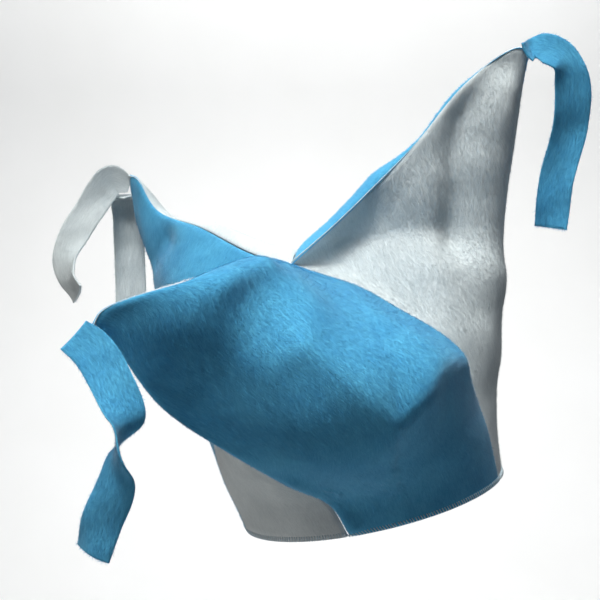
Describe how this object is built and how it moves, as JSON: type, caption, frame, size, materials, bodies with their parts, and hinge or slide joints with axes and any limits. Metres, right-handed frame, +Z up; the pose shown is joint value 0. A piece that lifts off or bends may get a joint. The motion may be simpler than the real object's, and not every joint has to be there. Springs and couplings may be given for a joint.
{
  "type": "jester hat",
  "caption": "Soft fleece jester hat with floppy pointed horns in alternating blue and white panels, and a fleece ribbon hanging from each tip.",
  "frame": {"origin": "middle of the head opening, in the plane of the brim", "axes": "+Z up as worn, +X towards the tall horn, -Y towards the viewer of the picture; the brim's plane is turned about Y, so that it hangs lower at -X"},
  "size_m": [0.4047, 0.3618, 0.3533],
  "materials": {
    "blue_fleece": "short-pile fleece, sky blue",
    "white_fleece": "short-pile fleece, cool white"
  },
  "bodies": {
    "root": {"front_horn_blue": "blue_fleece", "front_horn_white": "white_fleece", "right_horn_white": "white_fleece", "right_horn_blue": "blue_fleece", "back_horn_blue": "blue_fleece", "back_horn_white": "white_fleece", "front_ribbon": "blue_fleece", "right_ribbon": "blue_fleece", "back_ribbon_outer": "white_fleece", "back_ribbon_hanging": "white_fleece"}
  },
  "joints": []
}
